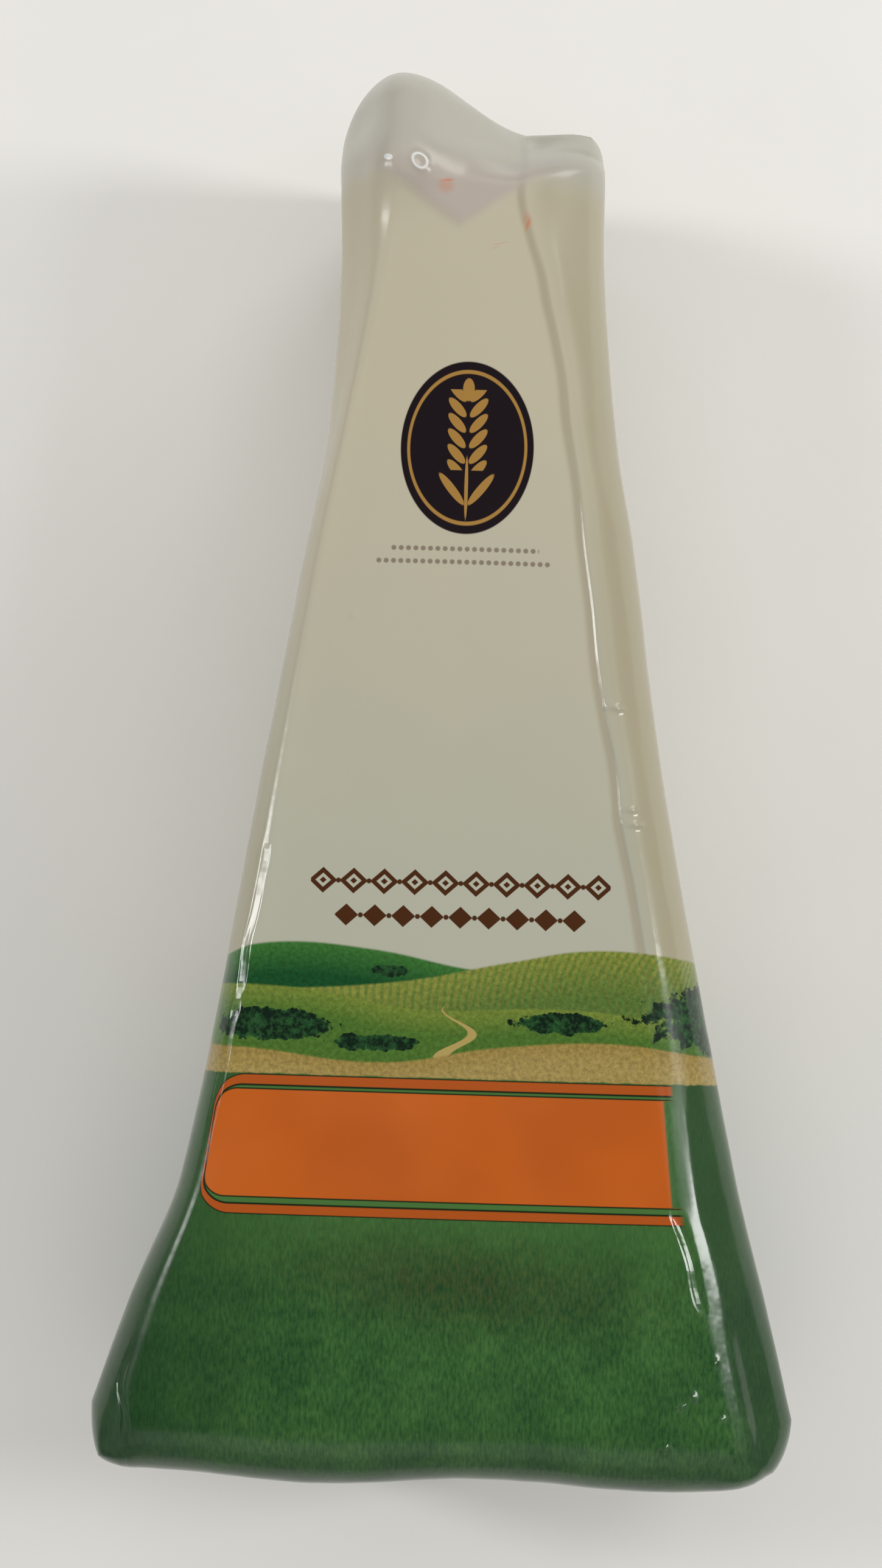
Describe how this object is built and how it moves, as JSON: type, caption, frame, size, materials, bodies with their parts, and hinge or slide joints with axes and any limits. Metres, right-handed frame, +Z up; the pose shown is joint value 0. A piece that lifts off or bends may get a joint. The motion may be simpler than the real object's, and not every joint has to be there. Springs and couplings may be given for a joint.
{
  "type": "vacuum-packed wedge of aged hard cheese",
  "caption": "Wedge of aged hard cheese sealed in a glossy printed shrink film, lying on its back with the tail folded over at the narrow end.",
  "frame": {"origin": "middle of the pack's bounding box, at the level of the flat back that it rests on", "axes": "+Z up out of the printed face, +Y along the pack from the wide rind end to the narrow folded end, +X to the right of the printed face"},
  "size_m": [0.0982, 0.211, 0.0749],
  "materials": {
    "printed_film": "glossy clear shrink film with a cream, green and orange print on its inner side"
  },
  "bodies": {
    "root": {"wedge_pack": "printed_film"}
  },
  "joints": []
}
